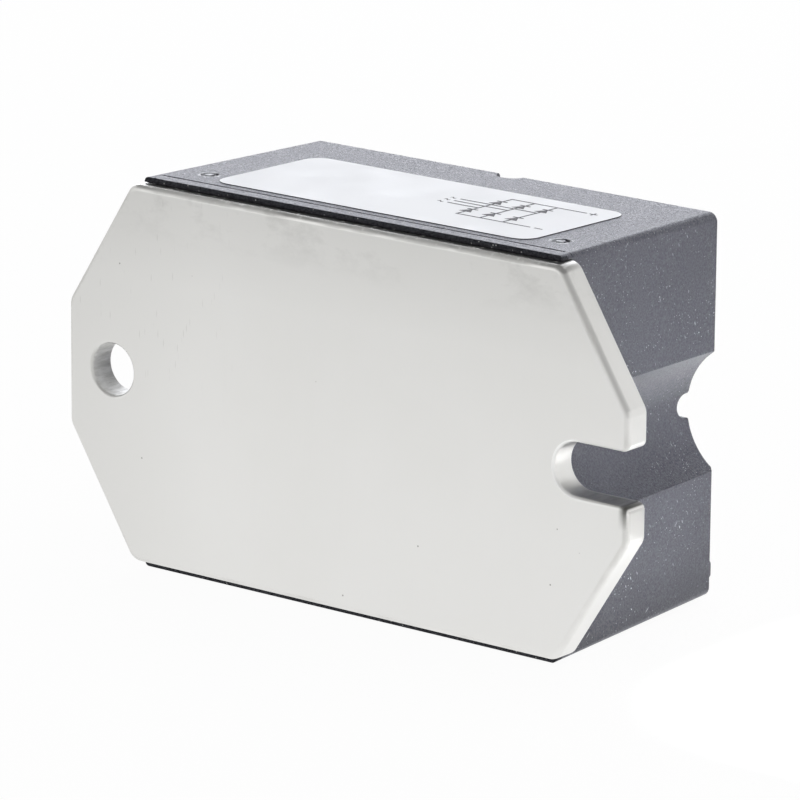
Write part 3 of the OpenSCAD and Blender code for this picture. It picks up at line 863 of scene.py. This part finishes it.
# the wires of the circuit, and the signs of its two rails
def printLines():
    plusY, minusY = circuit["plusY"], circuit["minusY"]
    columns = circuit["columns"]
    lines = [
        stroke((columns[0], plusY), (circuit["plusEnd"], plusY)),
        stroke((columns[0], minusY), (circuit["minusEnd"], minusY)),
    ]
    for column, inputY in zip(columns, circuit["inputs"]):
        lines.append(stroke((column, minusY), (column, plusY), 1))
        lines.append(stroke((circuit["inputStart"], inputY), (column, inputY), 3))
    half = circuit["signSize"] / 2
    signX = circuit["signX"]
    lines.append(stroke((signX, plusY), (signX + 2 * half, plusY)))
    lines.append(stroke((signX + half, plusY - half), (signX + half, plusY + half), 1))
    lines.append(stroke((signX, minusY), (signX + 2 * half, minusY)))
    return lines


def addPrint():
    low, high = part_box("label")
    lean = math.atan2(high.z - low.z - circuit["film"] * mm, high.y - low.y)
    lines = printLines()
    diode = diodeSymbol()
    for row in (circuit["upperY"], circuit["lowerY"]):
        for column in circuit["columns"]:
            at = (column * mm, row * mm, 4 * circuit["layer"] * mm)
            lines.append(copied(diode, "diodeCopy", at))
    bpy.data.objects.remove(diode, do_unlink=True)
    ripple = wave("ripple", circuit["waveLong"], circuit["waveHigh"], circuit["line"])
    for inputY in circuit["inputs"]:
        lines.append(copied(ripple, "rippleCopy", (circuit["waveX"] * mm, inputY * mm, 0)))
    bpy.data.objects.remove(ripple, do_unlink=True)
    piece = joined(lines, "labelPrint")
    useModifier(piece, "SOLIDIFY", thickness=circuit["ink"] * mm, offset=1.0)

    # from the flat drawing onto the leaning film
    piece.location = (0, low.y, high.z)
    piece.rotation_euler = (-lean, 0, 0)
    editAll(piece)
    bpy.ops.transform.translate(value=(0, -low.y, 0), orient_type="LOCAL")
    leaveEdit()
    applyPlace(piece)
    finishPiece(piece, inkMaterial(), "label_film")


# terminal face: softened strips, washers and screws, and a raised sign beside each terminal
terminals = {
    "strips": ("terminal_plus", "terminal_minus", "terminal_ac_1", "terminal_ac_2", "terminal_ac_3"),
    "screws": ("flat_washers", "spring_washers", "terminal_screws"),
    "stripEdge": 0.06,  # mm
    "screwEdge": 0.1,
    "signs": ((-13.5, "plus"), (13.5, "minus"), (-16.0, "phase"), (0.0, "phase"), (16.0, "phase")),
    "dcSignZ": 24.3,
    "phaseSignZ": 16.7,
    "signLong": 2.4,
    "signLine": 0.6,
    "signHigh": 0.25,
    "signSunk": 0.05,
    "signEdge": 0.06,
    "phaseWave": 0.84,  # how far a phase sign swings
    "faceDrop": 0.4,  # mm that the terminal face lies under the housing's highest bars

    # of each finish: two tones, lowest and highest roughness, scale of its pattern
    "tinned": ((0.70, 0.69, 0.66), (0.78, 0.77, 0.74), 0.26, 0.38, 160),
    "zinc": ((0.58, 0.59, 0.60), (0.68, 0.69, 0.69), 0.24, 0.36, 220),
    "rubbed": ((0.105, 0.107, 0.125), (0.150, 0.153, 0.172), 0.42, 0.55, 2600),
}


def metalMaterial(name, dark, light, smooth, dull, scale):
    made, tree, shader = startMaterial(name)
    cloud = noise(tree, scale, 3, 0.6)
    fine = noise(tree, 4200, 2, 0.6)
    feed(tree, shader, {
        "Base Color": tint(tree, span(tree, cloud, 0.35, 0.65), dark, light),
        "Metallic": 1.0,
        "Roughness": span(tree, fine, 0.3, 0.7, smooth, dull),
        "Normal": bump(tree, fine, 0.004, 0.3),
    })
    return made


def plainMaterial(name, dark, light, smooth, dull, scale):
    made, tree, shader = startMaterial(name)
    cloud = noise(tree, scale, 3, 0.55)
    feed(tree, shader, {
        "Base Color": tint(tree, span(tree, cloud, 0.35, 0.65), dark, light),
        "Roughness": span(tree, cloud, 0.3, 0.7, smooth, dull),
        "Normal": bump(tree, cloud, 0.004, 0.2),
    })
    return made


def softened(node, edge, material, slotName):
    piece = nodeCopy(node, "soft_" + node)
    softenEdges(piece, edge)
    finishPiece(piece, material, slotName, node)


# gives nodes that are kept as they are their material
def dress(material, *nodes):
    for node in nodes:
        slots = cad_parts[node].data.materials
        slots.clear()
        slots.append(material)


def addTerminals():
    tinned = metalMaterial("tinnedStrip", *terminals["tinned"])
    zinc = metalMaterial("zincSteel", *terminals["zinc"])
    for node in terminals["strips"]:
        softened(node, terminals["stripEdge"], tinned, "tinned_strip")
    for node in terminals["screws"]:
        softened(node, terminals["screwEdge"], zinc, "zinc_steel")
    dress(zinc, "terminal_nuts")


def bar(long, wide, high):
    deselectAll()
    bpy.ops.mesh.primitive_cube_add(size=1, location=(0, 0, high / 2 * mm))
    piece = named("bar")
    piece.scale = (long * mm, wide * mm, high * mm)
    applyPlace(piece)
    return piece


# the three raised signs are made flat, at the origin
def signShapes():
    long, line, high = terminals["signLong"], terminals["signLine"], terminals["signHigh"]
    minus = bar(long, line, high)
    plus = bar(long, line, high)
    upright = bar(line, long, high)
    useModifier(plus, "BOOLEAN", operation="UNION", object=upright, solver="EXACT")
    bpy.data.objects.remove(upright, do_unlink=True)
    phase = wave("bar", long, terminals["phaseWave"], line)
    useModifier(phase, "SOLIDIFY", thickness=high * mm, offset=1.0)
    return {"plus": plus, "minus": minus, "phase": phase}


def addSigns():
    rubbed = plainMaterial("rubbedPlastic", *terminals["rubbed"])
    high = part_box("housing")[1]
    faceY = high.y - (terminals["faceDrop"] + terminals["signSunk"]) * mm
    shapes = signShapes()
    for number, (signX, kind) in enumerate(terminals["signs"]):
        signZ = terminals["phaseSignZ"] if kind == "phase" else terminals["dcSignZ"]
        piece = copied(shapes[kind], "sign%d_%s" % (number + 1, kind), (0, 0, 0))
        piece.rotation_euler = (math.pi / 2, 0, math.pi)
        piece.location = (signX * mm, faceY, signZ * mm)
        applyPlace(piece)
        softenEdges(piece, terminals["signEdge"])
        finishPiece(piece, rubbed, "dark_plastic")
    for shape in shapes.values():
        bpy.data.objects.remove(shape, do_unlink=True)


# the sealed inside, with finishes written as on the terminal face
inside = {
    "copper": ((0.62, 0.34, 0.22), (0.76, 0.46, 0.31), 0.25, 0.42, 180),
    "ceramic": ((0.78, 0.77, 0.73), (0.86, 0.85, 0.82), 0.35, 0.5, 700),
    "chip": ((0.09, 0.09, 0.11), (0.15, 0.15, 0.18), 0.18, 0.3, 500),
    "gel": ((0.80, 0.84, 0.86), (0.88, 0.90, 0.91), 0.10, 0.18, 60),
    "gelClear": 0.85,
    "gelBend": 1.41,  # index of refraction
}


def dressInside():
    copper = metalMaterial("solderedCopper", *inside["copper"])
    ceramic = plainMaterial("tileCeramic", *inside["ceramic"])
    chip = plainMaterial("siliconChip", *inside["chip"])
    gel = plainMaterial("clearGel", *inside["gel"])
    feed(gel.node_tree, gel.node_tree.nodes["Principled BSDF"], {
        "Transmission Weight": inside["gelClear"], "IOR": inside["gelBend"]})
    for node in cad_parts:
        if node.startswith(("pad_", "clip_")) or node == "dcb_bottom_copper":
            dress(copper, node)
        elif node.startswith("diode_"):
            dress(chip, node)
    dress(ceramic, "dcb_ceramic")
    dress(gel, "gel_fill")
    print("inside pieces dressed")


# floor, lights and surround
studio = {
    "floorHalf": 4.0,
    "floorGrid": 8,
    "floorColour": 0.9,
    "floorPaper": 0.98,  # tone of the paper's darker fibres, as a share
    "floorGlow": 0.95,  # share of plain white that the floor shows to the eye
    "mirrorGlow": 0.97,  # the same in reflections
    "fadeFrom": -0.09,  # Y from which the floor looks darker in reflections, m
    "fadeTo": -0.25,
    "leftFrom": -0.13,  # X from which it does so to the left
    "leftTo": -0.40,
    "fade": 0.30,
    "liftX": 0.035,  # X of the strip of floor that looks brighter in reflections, m
    "liftHalf": 0.016,
    "liftFrom": -0.022,  # Y from which it does so, behind the mounting face
    "liftTo": -0.012,
    "lift": 0.13,
    "fill": 0.45,  # strength of the surround as light
    "lamps": (  # name, place, aim, size, power, spread in degrees, seen in reflections
        ("keyLamp", (0.25, 0.35, 1.2), (0, 0, 0), 1.2, 7.0, 180, False),
        ("backLamp", (-0.71, 0.92, 0.32), (0, 0, 0), 0.9, 7.7, 180, True),
        ("rightLamp", (1.05, 0.15, 0.22), (0, 0, 0), 0.7, 1.7, 180, False),
        ("tableLamp", (0.066, 0.0, 0.25), (0.066, 0, 0), 0.02, 1.3, 10, False),
    ),
    "cool": (0.92, 0.94, 1.0),  # colour of the lamp that is seen in reflections
    "paleTo": 0.45,  # sine of the height up to which the surround is white
    "darkFrom": 0.70,
    "darkTone": 0.3,
    "darkSide": (0.59, -0.77, 0.25),  # direction of the unlit side of the room
    "darkCone": (0.72, 0.97),  # cosines between which it grows dark
    "darkShare": 0.40,
    "paleSide": (-0.59, -0.77, 0.20),  # direction of the large pale screen
    "paleCone": (0.88, 0.97),
    "paleShare": 0.3,
}


def seenByEye(tree):
    paths = addNode(tree, "ShaderNodeLightPath")
    seen = combine(tree, "MAXIMUM", paths.outputs["Is Camera Ray"], paths.outputs["Is Glossy Ray"])
    return combine(tree, "MAXIMUM", seen, paths.outputs["Is Transmission Ray"])


# how much brighter or darker than white the floor is in reflections
def floorChange(tree):
    fade = span(tree, axis(tree, "Y"), studio["fadeFrom"], studio["fadeTo"], 0.0, studio["fade"])
    leftFade = span(tree, axis(tree, "X"), studio["leftFrom"], studio["leftTo"], 0.0, studio["fade"])
    fade = combine(tree, "MAXIMUM", fade, leftFade)
    aside = absolute(tree, combine(tree, "SUBTRACT", axis(tree, "X"), studio["liftX"]))
    lift = span(tree, aside, 2 * studio["liftHalf"], studio["liftHalf"], 0.0, studio["lift"])
    behind = span(tree, axis(tree, "Y"), studio["liftFrom"], studio["liftTo"])
    return combine(tree, "SUBTRACT", product(tree, lift, behind), fade)


def floorMaterial():
    made, tree, shader = startMaterial("paleFloor")
    tone = studio["floorColour"]
    darker = tone * studio["floorPaper"]
    feed(tree, shader, {
        "Base Color": tint(tree, noise(tree, 40, 3, 0.5), (tone, tone, tone), (darker, darker, darker)),
        "Roughness": 1.0,
        "Specular IOR Level": 0.0,
    })
    mirrored = addNode(tree, "ShaderNodeLightPath").outputs["Is Glossy Ray"]
    change = product(tree, floorChange(tree), mirrored)
    glow = addNode(tree, "ShaderNodeEmission", {
        "Color": (1, 1, 1, 1), "Strength": combine(tree, "ADD", 1.0, change)})
    white = span(tree, mirrored, 0.0, 1.0, studio["floorGlow"], studio["mirrorGlow"])
    mixed = addNode(tree, "ShaderNodeMixShader", {
        "Fac": product(tree, seenByEye(tree), white),
        1: shader.outputs["BSDF"], 2: glow.outputs["Emission"]})
    feed(tree, tree.nodes["Material Output"], {"Surface": mixed.outputs["Shader"]})
    return made


def addFloor():
    deselectAll()
    bpy.ops.mesh.primitive_grid_add(x_subdivisions=studio["floorGrid"],
                                    y_subdivisions=studio["floorGrid"], size=2 * studio["floorHalf"])
    floor = named("floor")
    floor.data.materials.append(floorMaterial())
    print("floor laid")


# white low down and dark overhead, with an unlit side and a pale screen
def surroundTone(tree):
    toward = addNode(tree, "ShaderNodeTexCoord").outputs["Generated"]
    high = span(tree, component(tree, toward, "Z"), studio["paleTo"], studio["darkFrom"],
                0.0, 1.0 - studio["darkTone"])
    lobes = []
    for side in ("darkSide", "paleSide"):
        lobe = addNode(tree, "ShaderNodeVectorMath", {
            0: toward, 1: Vector(studio[side]).normalized()}, operation="DOT_PRODUCT")
        lobes.append(lobe.outputs["Value"])
    shade = span(tree, lobes[0], *studio["darkCone"], 1.0, 1.0 - studio["darkShare"])
    screen = span(tree, lobes[1], *studio["paleCone"], 0.0, studio["paleShare"])
    return combine(tree, "ADD", product(tree, combine(tree, "SUBTRACT", 1.0, high), shade), screen)


def addSurround():
    world = bpy.data.worlds.new("room")
    bpy.context.scene.world = world
    world.use_nodes = True
    tree = world.node_tree
    light = tree.nodes["Background"]
    feed(tree, light, {"Color": (1, 1, 1, 1), "Strength": studio["fill"]})
    seen = addNode(tree, "ShaderNodeBackground", {"Color": surroundTone(tree), "Strength": 1.0})
    mixed = addNode(tree, "ShaderNodeMixShader", {
        "Fac": seenByEye(tree), 1: light.outputs["Background"], 2: seen.outputs["Background"]})
    feed(tree, tree.nodes["World Output"], {"Surface": mixed.outputs["Shader"]})


def addLamps():
    for name, where, aim, size, power, spread, mirrored in studio["lamps"]:
        deselectAll()
        bpy.ops.object.light_add(type="AREA", location=where)
        lamp = bpy.context.object
        lamp.name = name
        lamp.data.size = size
        lamp.data.energy = power
        lamp.data.color = studio["cool"] if mirrored else (1, 1, 1)
        lamp.data.spread = math.radians(spread)
        lamp.rotation_euler = (Vector(aim) - Vector(where)).to_track_quat("-Z", "Y").to_euler()
        lamp.visible_glossy = mirrored
        lamp.visible_camera = False


def lightRoom():
    addSurround()
    addLamps()
    bpy.context.scene.view_settings.view_transform = "Standard"
    print("surround and lamps set")


addCamera()
addPlate()
addHousing()
dress(filmMaterial(), "label")
addPrint()
addTerminals()
addSigns()
dressInside()
addFloor()
lightRoom()
